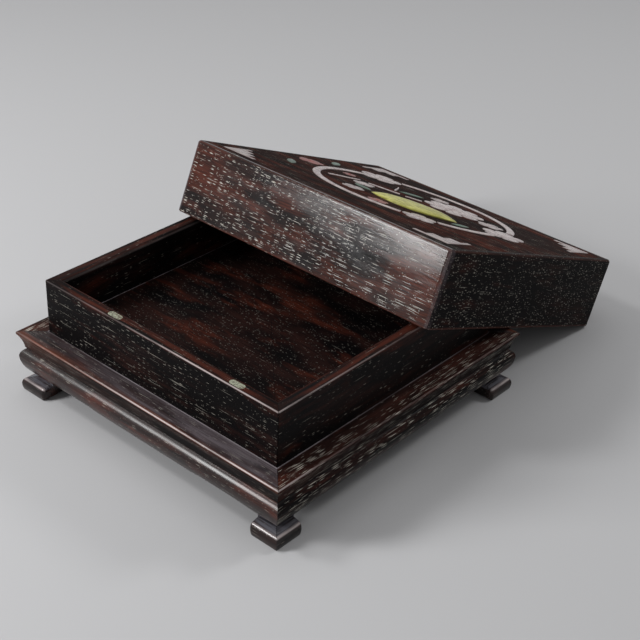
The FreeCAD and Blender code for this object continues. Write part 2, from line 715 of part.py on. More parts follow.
def inlay_nodes():
    """Lay out the whole picture; lengths are in shares of the ring's radius.

    Outside the ring they are in shares of the margin between it and the panel's edge.
    """
    centre = Vector(-size("ring_left"), size("ring_back"), 0)
    unit = size("ring_radius")
    margin = value("inlay_margin")
    middle = unit - size("ring_width") / 2
    gap = size("inlay_gap")

    def at(distance, degrees):
        return polar(centre, distance * unit, degrees)

    def outside(distance, degrees):
        return polar(centre, unit + distance * margin, degrees)

    pieces = []
    gaps = ring_gaps()
    for index, (angle, radius) in enumerate(gaps):
        following, next_radius = gaps[index - 1]
        first = angle + math.degrees((radius + gap) / middle)
        last = following - math.degrees((next_radius + gap) / middle)
        if last < first:
            last += 360
        pieces.append(ring_piece(centre, first, last))
    ring = inlay("inlay_ring", pieces)

    flowers = [blossom(polar(centre, middle, angle), radius, 5, angle) for angle, radius in gaps]
    flowers += [blossom(at(0.46, 62), 0.30 * unit, 8, 10),
                blossom(at(0.50, 206), 0.11 * unit, 5, 20),
                blossom(at(0.68, 246), 0.11 * unit, 5, 50),
                blossom(at(0.76, 30), 0.13 * unit, 5, 0),
                blossom(at(0.66, 100), 0.10 * unit, 5, 30)]
    blossoms = inlay("inlay_blossoms", flowers)

    broad = [half_leaf(at(0.42, 305), 0.86 * unit, 0.44 * unit, 18, side, 0.6) for side in (1, -1)]
    broad_leaf = inlay("inlay_broad_leaf", broad)

    coral = inlay("inlay_coral_buds", [
        blossom(outside(0.42, 190), 0.34 * margin, 5, 0),
        blossom(at(0.80, 280), 0.10 * unit, 5, 15),
        blossom(at(0.78, 182), 0.07 * unit, 5, 40)])

    leaves = inlay("inlay_small_leaves", [
        leaf(outside(0.52, 168), 0.68 * margin, 0.235 * margin, 120),
        leaf(outside(0.57, 212), 0.73 * margin, 0.235 * margin, 310),
        leaf(at(0.52, 232), 0.24 * unit, 0.09 * unit, 350),
        leaf(at(0.36, 128), 0.26 * unit, 0.10 * unit, 50),
        leaf(at(0.80, 338), 0.22 * unit, 0.08 * unit, 70)])

    twigs = inlay("inlay_twigs", [
        twig(at(0.84, 214), at(0.60, 190), 2.4, 1.8),
        twig(at(0.50, 190), at(0.20, 168), 1.8, 1.5),
        twig(at(0.14, 160), at(0.15, 92), 1.5, 1.2),
        twig(at(0.34, 158), at(0.60, 140), 1.4, 0.8)])

    corners = inlay("inlay_corner_pieces", [spandrel(turn) for turn in SIDES.values()])
    return [ring, blossoms, broad_leaf, coral, leaves, twigs, corners]


def lid_top_panel(inlays):
    """The top panel, with a bed cut for every piece of inlay."""
    blank = board("panel_blank", "panel_half", "lid_panel", "lid_ceiling", lid_place())
    panel = doc.addObject("Part::Cut", "lid_top_panel")
    panel.Label = "lid_top_panel"
    panel.Base = blank
    panel.Tool = group("inlay_beds", inlays)
    return panel


def build():
    """Build every piece and return the objects that are written out."""
    nodes = []
    for side, turn in SIDES.items():
        nodes.append(tray_wall(side, turn))
        nodes.append(ledge_member(side, turn))
        nodes.append(apron_member(side, turn))
        nodes.append(lid_wall(side, turn))
        for end in ENDS:
            nodes.append(foot_wing(side, turn, end))
    nodes.append(board("tray_floor", "( tray_inner + floor_tongue )", "floor_thickness",
                       "floor_seat", box_place()))
    for end, place in PEGS.items():
        nodes.append(rim_peg(end, place))
    nodes.append(corner_keys("tray_mitre_keys", "wall_middle", "tray_key_foot",
                             "key_width", "key_thickness", "tray_key_height", box_place()))
    nodes.append(corner_keys("lid_mitre_keys", "lid_wall_middle", "key_margin",
                             "key_width", "key_thickness", "lid_key_height",
                             lid_place()))
    nodes.append(corner_keys("ledge_mitre_keys", "ledge_key_place", "ledge_key_lift",
                             "frame_key_width", "frame_key_length", "frame_key_thickness",
                             box_place()))
    nodes.append(corner_keys("apron_mitre_keys", "apron_key_place", "apron_key_lift",
                             "frame_key_width", "frame_key_length", "frame_key_thickness",
                             box_place()))
    nodes.append(foot_dowels())
    inlays = inlay_nodes()
    nodes += inlays
    nodes.append(lid_top_panel(inlays))
    return nodes


nodes = build()
doc.recompute()
for item in doc.Objects:
    if "Invalid" in item.State or "Error" in item.State:
        raise RuntimeError(f"{item.Name} failed: {item.State}")
os.makedirs("parts", exist_ok=True)
for node in nodes:
    shape = node.Shape
    if shape.isNull() or not shape.isValid() or not shape.Solids:
        raise RuntimeError(f"{node.Label} has no sound shape")
    shape.exportStep(f"parts/{node.Label}.step")
    print(node.Label, len(shape.Solids), round(shape.Volume, 1))
whole = Part.makeCompound([node.Shape for node in nodes]).BoundBox
print("tilt", round(value("tilt"), 3), "box", [round(number, 3) for number in (
    whole.XMin, whole.YMin, whole.ZMin, whole.XMax, whole.YMax, whole.ZMax)])
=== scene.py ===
import math
from dataclasses import dataclass
import bmesh
import bpy
from mathutils import Matrix, Vector


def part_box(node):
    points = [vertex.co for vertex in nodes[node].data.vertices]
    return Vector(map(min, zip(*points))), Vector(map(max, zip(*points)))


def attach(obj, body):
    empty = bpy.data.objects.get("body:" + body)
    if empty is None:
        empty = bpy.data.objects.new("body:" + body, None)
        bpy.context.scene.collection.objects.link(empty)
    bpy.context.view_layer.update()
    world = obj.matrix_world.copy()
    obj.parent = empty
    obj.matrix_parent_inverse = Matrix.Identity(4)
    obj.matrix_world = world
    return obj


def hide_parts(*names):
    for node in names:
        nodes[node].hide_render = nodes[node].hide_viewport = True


# The hardwood box for an ink stick and stone, dressed for the studio. Lengths in
# this script are millimetres, except where Blender takes metres.

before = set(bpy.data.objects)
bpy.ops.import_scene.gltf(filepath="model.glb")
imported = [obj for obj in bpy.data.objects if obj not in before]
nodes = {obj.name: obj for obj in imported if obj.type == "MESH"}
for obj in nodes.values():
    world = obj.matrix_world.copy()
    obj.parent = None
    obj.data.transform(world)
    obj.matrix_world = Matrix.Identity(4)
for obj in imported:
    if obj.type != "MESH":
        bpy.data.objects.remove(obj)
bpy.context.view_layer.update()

MM = 0.001
SIDES = ("front", "right", "back", "left")

# Sizes read from the CAD model

tray_low, tray_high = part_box("tray_left_wall")
ledge_low, ledge_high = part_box("ledge_left")
lid_low, lid_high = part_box("lid_left_wall")
floor_low, floor_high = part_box("tray_floor")

TRAY_HALF = -tray_low.x / MM
TRAY_INNER = -tray_high.x / MM
RIM_TOP = tray_high.z / MM
LEDGE_HALF = -ledge_low.x / MM
LEDGE_TOP = ledge_high.z / MM
LID_HALF = -lid_low.x / MM
LID_INNER = -lid_high.x / MM
BOX_Y = (floor_low.y + floor_high.y) / 2 / MM

# Sizes that its boxes don't give, as in the source of the part

LID_HEIGHT = 40.3
PERCH_GAP = 0.3
SHOULDER_TOP = 8.0    # the foot's sloping shoulder, at the neck and at its outer edge
SHOULDER_EDGE = 6.6
COVE_LOW = 24.6       # the hollow between the apron and the ledge's edge
COVE_HIGH = 34.8
RING_RADIUS = 59.0
RING_WIDTH = 4.6
RING_CENTRE = Vector((-2.0, 6.0, 0.0))
SPANDREL_LEG = 22.0   # the inlay's corner pieces
SPANDREL_TIP = 2.8
SPANDREL_STEPS = 3
SPANDREL_INSET = 10.5
INLAY_MARGIN = 22.6   # between the ring and the panel's edge

# The lid leans. Its front wall perches on the rim, its back edge is at the ground, and
# the plane of its mouth clears the ledge's back edge by the same small gap.
TILT = math.asin(RIM_TOP / (LID_HALF + LID_INNER))
LID_Z = RIM_TOP + PERCH_GAP - math.sin(TILT) * LID_INNER
LID_Y = BOX_Y + LEDGE_HALF + (PERCH_GAP + (LEDGE_TOP - LID_Z) * math.cos(TILT)) / math.sin(TILT)

# Shader nodes

MIX_SHARE = 0         # sockets of Blender's Mix node when it mixes colours
MIX_FIRST = 6
MIX_SECOND = 7
MIX_RESULT = 2


class Nodes:
    """Short calls for putting together the nodes of a material or a world."""

    def __init__(self, owner):
        owner.use_nodes = True
        self.owner = owner
        self.tree = owner.node_tree
        self.tree.nodes.clear()

    def add(self, kind, inputs, **settings):
        node = self.tree.nodes.new("ShaderNode" + kind)
        for name, setting in settings.items():
            setattr(node, name, setting)
        for name, given in inputs.items():
            if isinstance(given, bpy.types.NodeSocket):
                self.tree.links.new(given, node.inputs[name])
            else:
                node.inputs[name].default_value = given
        return node

    def math(self, operation, *values, clamp=False):
        inputs = dict(enumerate(values))
        return self.add("Math", inputs, operation=operation, use_clamp=clamp).outputs[0]

    def times(self, first, *others):
        product = first
        for other in others:
            product = self.math("MULTIPLY", product, other)
        return product

    def scaled(self, vector, scale, shift=(0, 0, 0)):
        node = self.add("VectorMath", {0: vector, 1: scale, 2: shift}, operation="MULTIPLY_ADD")
        return node.outputs[0]

    def fade(self, number, low, high, start=0.0, end=1.0):
        """Blend smoothly from start to end as the number goes from low to high."""
        node = self.add("MapRange", {"Value": number, "From Min": low, "From Max": high,
                                     "To Min": start, "To Max": end},
                        interpolation_type="SMOOTHSTEP")
        return node.outputs["Result"]

    def near(self, number, place, width):
        """1 where the number is at the place, fading to 0 over the width."""
        away = self.math("ABSOLUTE", self.math("SUBTRACT", number, place))
        return self.fade(away, 0.0, width, 1.0, 0.0)

    def noise(self, vector, scale, detail=3.0, rough=0.55):
        node = self.add("TexNoise", {"Vector": vector, "Scale": scale, "Detail": detail,
                                     "Roughness": rough})
        return node.outputs["Fac"]

    def stretched(self, vector, along, across, detail=3.0, rough=0.55, shift=(0, 0, 0)):
        """Noise drawn out along X, by how often it changes per millimetre along and across."""
        return self.noise(self.scaled(vector, (along, across, across), shift), 1.0, detail, rough)

    def mix(self, share, first, second):
        """Blend from the first colour to the second. Each is a socket or three numbers."""
        inputs = {MIX_SHARE: share}
        for socket, color in ((MIX_FIRST, first), (MIX_SECOND, second)):
            inputs[socket] = color if isinstance(color, bpy.types.NodeSocket) else (*color, 1.0)
        return self.add("Mix", inputs, data_type="RGBA").outputs[MIX_RESULT]

    def finish(self, color, roughness, height, bump, specular, coat=0.0, coat_roughness=0.2):
        """Put the surface together. The bump is in millimetres. Return the material."""
        bumped = self.add("Bump", {"Height": height, "Distance": bump * MM}).outputs[0]
        shader = self.add("BsdfPrincipled", {
            "Base Color": color, "Roughness": roughness, "Normal": bumped,
            "Specular IOR Level": specular, "Coat Weight": coat,
            "Coat Roughness": coat_roughness})
        self.add("OutputMaterial", {"Surface": shader.outputs[0]})
        return self.owner


def new_material(name):
    return Nodes(bpy.data.materials.new(name))


def split(kit, vector):
    return kit.add("SeparateXYZ", {0: vector}).outputs


# Wood colours, and the colours of painted highlights and sheen

BLACK = (0.0034, 0.0028, 0.0031)
BROWN = (0.0240, 0.0100, 0.0082)
RED = (0.0860, 0.0200, 0.0110)
WORN = (0.130, 0.048, 0.036)
# pale colour of the painted highlights along edges
EDGE_HIGHLIGHT = (0.560, 0.480, 0.470)
# pale colour of the painted highlights where the tray meets the ledge and the floor
JOINT_HIGHLIGHT = (0.300, 0.265, 0.285)
# grey of wax haze and painted sheen on the ledges, and of painted sheen on the lid's upright corners
HAZE_AND_SHEEN = (0.138, 0.116, 0.128)
# blue-grey of the painted sheen on the feet's shoulders
SHEEN_GREY = (0.150, 0.150, 0.175)
EMBER = (0.200, 0.052, 0.020)
PORE = (0.72, 0.68, 0.59)

# Pores

PORE_REACH = 0.42     # half size of the largest pore, as a share of its cell
PORE_CORE = 0.45      # share of a pore that is fully pale
PORE_FADE = 0.002     # least width of a pore's soft outline
PORE_ROUGHNESS = 0.25  # added where a pore is filled
DOT_LENGTH = 1.1
DOT_WIDTH = 0.8
DOT_SHARE = 0.35
LONG_LENGTH = 2.4     # size and lightness of the drawn out dashes, as shares of the others'
LONG_WIDTH = 0.9
LONG_LIGHT = 0.8
LONG_BEFORE = 30.0    # the stretch over which dashes grow long, about a look's long_side
LONG_AFTER = 50.0

# Wood grain. A pair holds the values for a share of 0 and a share of 1.

WARP = 5.0            # how far the grain wanders across a member
WARP_SCALE = 0.03
DARK_MIDDLE = (0.62, 0.40)
DARK_SOFT = (0.15, 0.07)
RED_START = (0.62, 0.36)
RED_FULL = (0.84, 0.64)
RED_LEAST = 0.35
RED_SHIFT = (31, 17, 7)
GRAIN_SHARE = 0.70
GRAIN_HEIGHT = 0.3
WAVE_HEIGHT = 0.6
WAVE_SCALE = 0.05
SEED_STEP = Vector((37.0, 11.0, 23.0))
SEAM = 0.35           # half width of the dark line at a mitre
SEAM_SHARE = 0.8
ROUGH_LESS = 0.02     # how far the roughness varies below and above a look's own
ROUGH_MORE = 0.05


@dataclass
class Pores:
    """Pores of one kind: their size, the share of the wood that has them, and how pale.

    Past a share of 1 they also grow larger.
    """
    length: float
    width: float
    share: float
    light: float


@dataclass
class Look:
    """How one kind of member looks.

    red and dark are how much of its wood is reddish or black, streaks is how much of the
    black runs in streaks instead of clouds, and dots is how pale its smallest pores are.
    The bump is in millimetres. near_edge is how far in from the ledge's edge the pores
    thin out, and long_side is the place along the member past which dashes are longer.
    """
    red: float
    dashes: Pores
    lines: Pores
    dots: float
    dark: float
    roughness: float
    specular: float
    streaks: float = 0.5
    bump: float = 0.05
    near_edge: float | None = None
    long_side: float | None = None


TRAY_LOOK = Look(red=0.12, dashes=Pores(3.6, 0.44, 0.27, 0.34), lines=Pores(16.0, 0.38, 0.18, 0.36),
                 dots=0.13, dark=0.90, roughness=0.34, specular=0.04)
RIGHT_TRAY_LOOK = Look(red=0.30, dashes=Pores(3.2, 0.48, 0.16, 0.32),
                       lines=Pores(12.0, 0.42, 0.08, 0.22), dots=0.06, dark=0.78, roughness=0.40,
                       specular=0.06)
FLOOR_LOOK = Look(red=0.46, dashes=Pores(1.8, 0.45, 0.25, 0.18), lines=Pores(9.0, 0.42, 0.06, 0.14),
                  dots=0.16, streaks=0.05, dark=0.55, roughness=0.34, specular=0.03)
LEDGE_LOOK = Look(red=0.30, dashes=Pores(5.0, 0.44, 0.25, 0.45), lines=Pores(16.0, 0.38, 0.40, 0.36),
                  dots=0.22, streaks=0.8, dark=0.32, roughness=0.32, specular=0.18)
RIGHT_LEDGE_LOOK = Look(red=0.56, dashes=Pores(8.0, 0.44, 1.20, 1.00),
                        lines=Pores(16.0, 0.42, 0.90, 0.60), dots=0.15, streaks=0.95, dark=0.52,
                        roughness=0.32, specular=0.08, near_edge=11.0)
APRON_LOOK = Look(red=0.70, dashes=Pores(5.5, 0.44, 0.20, 0.40), lines=Pores(16.0, 0.40, 0.15, 0.25),
                  dots=0.12, streaks=0.8, dark=0.32, roughness=0.27, specular=0.34, bump=0.012)
RIGHT_APRON_LOOK = Look(red=0.48, dashes=Pores(8.0, 0.44, 1.10, 0.90),
                        lines=Pores(16.0, 0.42, 0.70, 0.45), dots=0.12, streaks=0.95, dark=0.62,
                        roughness=0.30, specular=0.06, bump=0.03)
LID_LOOK = Look(red=0.82, dashes=Pores(4.2, 0.40, 0.44, 0.82), lines=Pores(9.0, 0.38, 0.25, 0.45),
                dots=0.32, streaks=0.35, dark=0.30, roughness=0.10, specular=0.32, bump=0.03,
                long_side=10.0)
RIGHT_LID_LOOK = Look(red=0.16, dashes=Pores(2.4, 0.46, 0.50, 0.50),
                      lines=Pores(10.0, 0.42, 0.08, 0.32), dots=0.35, dark=0.90, roughness=0.44,
                      specular=0.03)
TOP_LOOK = Look(red=0.68, dashes=Pores(8.0, 0.48, 0.22, 0.36), lines=Pores(16.0, 0.42, 0.30, 0.25),
                dots=0.12, streaks=0.95, dark=0.44, roughness=0.55, specular=0.01)
FOOT_LOOK = Look(red=0.30, dashes=Pores(5.0, 0.46, 0.20, 0.30), lines=Pores(12.0, 0.42, 0.20, 0.25),
                 dots=0.08, dark=0.50, roughness=0.18, specular=0.38, bump=0.03)


# Places on the box and the lid

def box_space(kit):
    """Coordinates about the middle of the box."""
    place = kit.add("TexCoord", {}).outputs["Object"]
    return kit.scaled(place, (1 / MM,) * 3, (0, -BOX_Y, 0))


def lid_space(kit):
    """Coordinates of the lid as if it lay level, about the middle of its mouth."""
    place = kit.add("TexCoord", {}).outputs["Object"]
    turned = kit.add("Mapping", {"Vector": place, "Location": (0, LID_Y * MM, LID_Z * MM),
                                 "Rotation": (-TILT, 0, 0)}, vector_type="TEXTURE")
    return kit.scaled(turned.outputs[0], (1 / MM,) * 3)


def turned_space(kit, space, side):
    """Turn coordinates so that a side's length runs along X and its face looks to -Y."""
    turn = math.radians(90 * SIDES.index(side))
    return kit.add("Mapping", {"Vector": space, "Rotation": (0, 0, turn)},
                   vector_type="TEXTURE").outputs[0]


def along(kit, space):
    """Place along a member, from the middle of its length."""
    return split(kit, space)[0]


def outward(kit, space):
    """Distance out from the middle of the box or lid, towards a member's own face."""
    return kit.times(split(kit, space)[1], -1.0)


def level(kit, space):
    """Height above the ground, or above the lid's mouth."""
    return split(kit, space)[2]


# Wood

def between(share, ends):
    """The number that lies at a share of the way between two ends."""
    start, end = ends
    return start + (end - start) * share


def pore_layer(kit, own, crowd, pores):
    """Pores along the grain: the middles of squeezed cells, in a share of the cells."""
    squeeze = (1 / pores.length, 1 / pores.width, 1 / pores.width)
    cells = kit.add("TexVoronoi", {"Vector": kit.scaled(own, squeeze), "Scale": 1.0,
                                   "Randomness": 1.0})
    chance = split(kit, cells.outputs["Color"])[0]
    reach = kit.times(kit.fade(chance, 1 - pores.share, 1.0, 0.0, PORE_REACH), crowd)
    core = kit.times(reach, PORE_CORE)
    outline = kit.math("ADD", reach, PORE_FADE)
    node = kit.add("MapRange", {"Value": cells.outputs["Distance"], "From Min": core,
                                "From Max": outline, "To Min": pores.light, "To Max": 0.0})
    return node.outputs["Result"]


def dash_layer(kit, space, own, crowd, look):
    """The dashes, which grow longer past the look's long_side if it has one."""
    dashes = pore_layer(kit, own, crowd, look.dashes)
    if look.long_side is None:
        return dashes
    drawn = Pores(LONG_LENGTH * look.dashes.length, LONG_WIDTH * look.dashes.width,
                  look.dashes.share, LONG_LIGHT * look.dashes.light)
    longer = kit.fade(along(kit, space), look.long_side - LONG_BEFORE, look.long_side + LONG_AFTER)
    return kit.math("ADD", kit.times(pore_layer(kit, own, crowd, drawn), longer),
                    kit.times(dashes, kit.math("SUBTRACT", 1.0, longer)))


def crowding(kit, space, own, look):
    """How large the pores are from place to place, as a share."""
    crowd = kit.fade(kit.stretched(own, along=0.025, across=0.12), 0.3, 0.7, start=0.80, end=1.12)
    if look.near_edge is None:
        return crowd
    inside = kit.fade(outward(kit, space), LEDGE_HALF - look.near_edge,
                      LEDGE_HALF - look.near_edge / 2, start=0.45)
    return kit.times(crowd, inside)


def ground(kit, bent, look):
    """The wood's colour without pores, and the height of its fine grain."""
    bands = kit.stretched(bent, along=0.014, across=0.42, detail=4.0, rough=0.62)
    clouds = kit.stretched(bent, along=0.022, across=0.06, detail=2.0)
    grain = kit.stretched(bent, along=0.04, across=1.7, detail=2.0, rough=0.7)
    patches = kit.stretched(bent, along=0.028, across=0.10, shift=RED_SHIFT)
    both = kit.math("ADD", kit.times(bands, look.streaks), kit.times(clouds, 1 - look.streaks))
    middle = between(look.dark, DARK_MIDDLE)
    soft = between(look.streaks, DARK_SOFT)
    color = kit.mix(kit.fade(both, middle - soft, middle + soft), BROWN, BLACK)
    reddish = kit.fade(patches, between(look.red, RED_START), between(look.red, RED_FULL))
    color = kit.mix(kit.times(reddish, min(1.0, RED_LEAST + look.red)), color, RED)
    color = kit.mix(kit.fade(grain, 0.38, 0.68, end=GRAIN_SHARE), color, BLACK)
    return color, grain


def figure(kit, space, own, look):
    """The wood's own colour, its pores and its height, without wear."""
    warp = kit.add("TexNoise", {"Vector": own, "Scale": WARP_SCALE, "Detail": 2.0})
    bent = kit.scaled(warp.outputs["Color"], (0, WARP, WARP), own)
    color, grain = ground(kit, bent, look)
    crowd = crowding(kit, space, own, look)
    dashes = dash_layer(kit, space, own, crowd, look)
    lines = pore_layer(kit, own, crowd, look.lines)
    dots = pore_layer(kit, own, crowd, Pores(DOT_LENGTH, DOT_WIDTH, DOT_SHARE, look.dots))
    filled = kit.math("MAXIMUM", dashes, kit.math("MAXIMUM", lines, dots))
    height = kit.math("SUBTRACT", kit.times(grain, GRAIN_HEIGHT), filled)
    return kit.mix(filled, color, PORE), filled, height


def wood(name, look, space_of, side, marks, seed):
    """A waxed hardwood member with its marks. The seed picks its stretch of the grain."""
    kit = new_material(name)
    space = turned_space(kit, space_of(kit), side)
    own = kit.scaled(space, (1, 1, 1), seed * SEED_STEP)
    color, filled, height = figure(kit, space, own, look)
    patches = kit.stretched(own, along=0.03, across=0.16, detail=4.0)
    waxed = kit.fade(patches, 0.3, 0.7, look.roughness - ROUGH_LESS, look.roughness + ROUGH_MORE)
    roughness = kit.math("ADD", waxed, kit.times(filled, PORE_ROUGHNESS))
    for mark in marks:
        patchy = kit.times(mark.mask(kit, space), kit.fade(patches, 0.32, 0.58, start=0.25))
        color = kit.mix(kit.times(patchy, mark.share), color, mark.tint)
        roughness = kit.math("SUBTRACT", roughness, kit.times(patchy, mark.smoothing))
    color = kit.mix(kit.times(seam(kit, space), SEAM_SHARE), color, BLACK)
    waves = kit.times(kit.noise(space, WAVE_SCALE, 2.0), WAVE_HEIGHT)
    return kit.finish(color, roughness, kit.math("ADD", height, waves), look.bump, look.specular)


def seam(kit, space):
    """The line where a member meets its neighbour at the mitre."""
    x = kit.math("ABSOLUTE", along(kit, space))
    return kit.near(kit.math("SUBTRACT", x, outward(kit, space)), 0.0, SEAM)


# Marks of wear and wax, and painted highlights, sheen, reflection and shade. A mask is 1 where its
# mark is full and 0 where it is absent.

@dataclass
class Mark:
    """A mask(kit, space), its colour and its share, and how much it smooths the wood."""
    mask: callable
    tint: tuple
    share: float
    smoothing: float = 0.0


def line(kit, space, out, height, wide, tall):
    """A line along a member, by its distance out, its height and its soft width and height."""
    return kit.times(kit.near(outward(kit, space), out, wide),
                     kit.near(level(kit, space), height, tall))


def edge_highlight_line(out, height, width, first, last, left, right):
    """Return the mask of a painted highlight along an edge, which goes from share left at first to
    right at last.
    """
    def mask(kit, space):
        return kit.times(line(kit, space, out, height, wide=width, tall=width),
                         kit.fade(along(kit, space), first, last, left, right))
    return mask


def on_rim(kit, space):
    """The rim's flat top, fading over its rounded edges."""
    return kit.fade(level(kit, space), RIM_TOP - 1.8, RIM_TOP - 0.3)


def rim_top(kit, space):
    """Reddish stretches of the rim's top."""
    stretches = kit.stretched(space, along=0.03, across=0.5)
    return kit.times(on_rim(kit, space), kit.fade(stretches, 0.40, 0.58))


def rim_dark_reflection(kit, space):
    """A painted dark reflection on the rim beside a mitre."""
    from_end = kit.math("SUBTRACT", TRAY_HALF, kit.math("ABSOLUTE", along(kit, space)))
    return kit.times(kit.fade(from_end, 8.0, 22.0, start=1.0, end=0.0), on_rim(kit, space))


def rim_inner_highlight(kit, space):
    """A painted highlight on the rim's rounded inner edge, reaching down below it."""
    return line(kit, space, out=TRAY_INNER, height=RIM_TOP - 1.2, wide=0.6, tall=1.2)


def ledge_strip(kit, space):
    """A reddish strip along the ledge's edge, wider to the left."""
    width = kit.fade(along(kit, space), -80.0, 60.0, start=4.5, end=1.6)
    inside = kit.math("SUBTRACT", LEDGE_HALF, outward(kit, space))
    strip = kit.math("SUBTRACT", 1.0, kit.math("DIVIDE", inside, width), clamp=True)
    patches = kit.stretched(space, along=0.03, across=0.6)
    return kit.times(strip, kit.fade(patches, 0.35, 0.60, start=0.3))


def ledge_top_streaks(kit, space):
    """Streaks on the ledge's flat top, thicker to the right: grey wax haze and painted sheen on the
    front and back ledges.
    """
    streaks = kit.stretched(space, along=0.03, across=1.1, detail=2.0)
    top = kit.near(level(kit, space), LEDGE_TOP, 0.6)
    right = kit.fade(along(kit, space), -70.0, 50.0, start=0.35)
    inside = kit.fade(outward(kit, space), LEDGE_HALF - 3.0, LEDGE_HALF - 0.8, start=1.0, end=0.4)
    return kit.times(top, kit.fade(streaks, 0.3, 0.6, start=0.45), right, inside)


def ledge_foot_highlight(kit, space):
    """A painted highlight in the angle between the ledge and the tray."""
    return line(kit, space, out=TRAY_HALF + 0.2, height=LEDGE_TOP, wide=0.7, tall=0.5)


def cove_shade(kit, space):
    """Painted shade in the hollow between the apron and the ledge's edge, fainter to the left."""
    height = level(kit, space)
    above = kit.fade(height, COVE_LOW, COVE_LOW + 1.0)
    below = kit.fade(height, COVE_HIGH - 0.4, COVE_HIGH, start=1.0, end=0.0)
    return kit.times(above, below, kit.fade(along(kit, space), -84.0, -40.0, start=0.5))


def foot_shoulder_sheen(kit, space):
    """Painted grey sheen on a foot's sloping shoulder, in streaks along it."""
    streaks = kit.stretched(space, along=0.08, across=1.3, detail=2.0)
    height = level(kit, space)
    above = kit.fade(height, SHOULDER_EDGE - 0.8, SHOULDER_EDGE)
    below = kit.fade(height, SHOULDER_TOP, SHOULDER_TOP + 0.3, start=1.0, end=0.0)
    return kit.times(above, below, kit.fade(streaks, 0.35, 0.62, start=0.25))


def foot_edge_highlight(kit, space):
    """A painted highlight along the outer edge of that shoulder."""
    return kit.times(kit.near(level(kit, space), SHOULDER_EDGE - 0.1, 0.9),
                     kit.fade(outward(kit, space), LEDGE_HALF - 3.0, LEDGE_HALF - 1.6))


def lid_edges(kit, space):
    """The lid's rubbed upper and lower edges."""
    upper = line(kit, space, out=LID_HALF, height=LID_HEIGHT, wide=1.6, tall=1.4)
    lower = line(kit, space, out=LID_HALF, height=0.0, wide=1.6, tall=1.6)
    return kit.math("MAXIMUM", upper, lower)


def lid_corner_sheen(kit, space):
    """Painted grey sheen on the lid's rounded upright edges."""
    return kit.fade(kit.math("ABSOLUTE", along(kit, space)), LID_HALF - 3.2, LID_HALF - 1.6)


def floor_joint_highlight(kit, space):
    """A painted highlight where the floor board meets the walls."""
    x, y = split(kit, space)[:2]
    reach = kit.math("MAXIMUM", kit.math("ABSOLUTE", x), kit.math("ABSOLUTE", y))
    return kit.near(reach, TRAY_INNER - 0.3, 0.45)


HIGHLIGHT_WIDTH = 0.8       # soft width of the tray's painted edge highlight
NOSE_WIDTH = 0.65     # and of the ledge's
NOSE_OUT = LEDGE_HALF - 0.2
NOSE_HEIGHT = LEDGE_TOP - 0.2

# Of these marks, the pale edge and joint lines, the grey sheen (with wax haze on the ledges), the
# dark patch beside the rim's mitres and the black in the cove are painted light and shade.
RIM_MARKS = (Mark(rim_top, RED, 0.60, 0.04), Mark(rim_dark_reflection, BLACK, 0.75),
             Mark(rim_inner_highlight, EDGE_HIGHLIGHT, 0.20, 0.05))
TRAY_MARKS = (*RIM_MARKS, Mark(edge_highlight_line(TRAY_HALF, RIM_TOP, HIGHLIGHT_WIDTH, first=-60, last=20,
                                           left=0.12, right=1.0), EDGE_HIGHLIGHT, 1.0, 0.10))
RIGHT_TRAY_MARKS = (*RIM_MARKS, Mark(edge_highlight_line(TRAY_HALF, RIM_TOP, HIGHLIGHT_WIDTH, first=-80, last=-20,
                                                 left=1.0, right=0.35), EDGE_HIGHLIGHT, 1.0, 0.10))
LEDGE_MARKS = (Mark(ledge_top_streaks, HAZE_AND_SHEEN, 0.92, -0.05), Mark(ledge_strip, EMBER, 0.75),
               Mark(ledge_foot_highlight, JOINT_HIGHLIGHT, 0.95), Mark(cove_shade, BLACK, 0.95, -0.35),
               Mark(edge_highlight_line(NOSE_OUT, NOSE_HEIGHT, NOSE_WIDTH, first=-60, last=20,
                                left=0.12, right=1.0), EDGE_HIGHLIGHT, 1.0, 0.08))
RIGHT_LEDGE_MARKS = (Mark(ledge_strip, RED, 0.50), Mark(ledge_top_streaks, WORN, 0.35),
                     Mark(ledge_foot_highlight, JOINT_HIGHLIGHT, 0.90), Mark(cove_shade, BLACK, 0.70, -0.35),
                     Mark(edge_highlight_line(NOSE_OUT, NOSE_HEIGHT, NOSE_WIDTH, first=-86, last=-55,
                                      left=1.0, right=0.12), EDGE_HIGHLIGHT, 0.9, 0.08))
APRON_MARKS = (Mark(cove_shade, BLACK, 0.90, -0.35),)
FOOT_MARKS = (Mark(foot_shoulder_sheen, SHEEN_GREY, 0.85), Mark(foot_edge_highlight, EDGE_HIGHLIGHT, 0.95, 0.05))
LID_MARKS = (Mark(lid_corner_sheen, HAZE_AND_SHEEN, 0.40), Mark(lid_edges, WORN, 0.55, 0.05))
FLOOR_MARKS = (Mark(floor_joint_highlight, JOINT_HIGHLIGHT, 0.8),)


# Dressing the CAD nodes

TRAY_SEED = 0         # each kind of member starts from its own seed, and its sides count on
LEDGE_SEED = 10
APRON_SEED = 20
FOOT_SEED = 30
FLOOR_SEED = 40
HIDDEN_SEED = 50
LID_SEED = 60
TOP_SEED = 70
HIDDEN_NODES = ("tray_mitre_keys", "ledge_mitre_keys", "apron_mitre_keys", "foot_dowels",
                "lid_mitre_keys")
BONE_DARK = (0.15, 0.15, 0.11)
BONE_PALE = (0.36, 0.38, 0.28)
BONE_DIRT = (0.10, 0.060, 0.040)


def paint(node, material):
    """Give a CAD node its dressed material."""
    slots = nodes[node].data.materials
    for index in range(len(slots)):
        slots[index] = material


def is_beside(side):
    """Whether a side is the box's right or left, whose members look alike."""
    return side in ("right", "left")


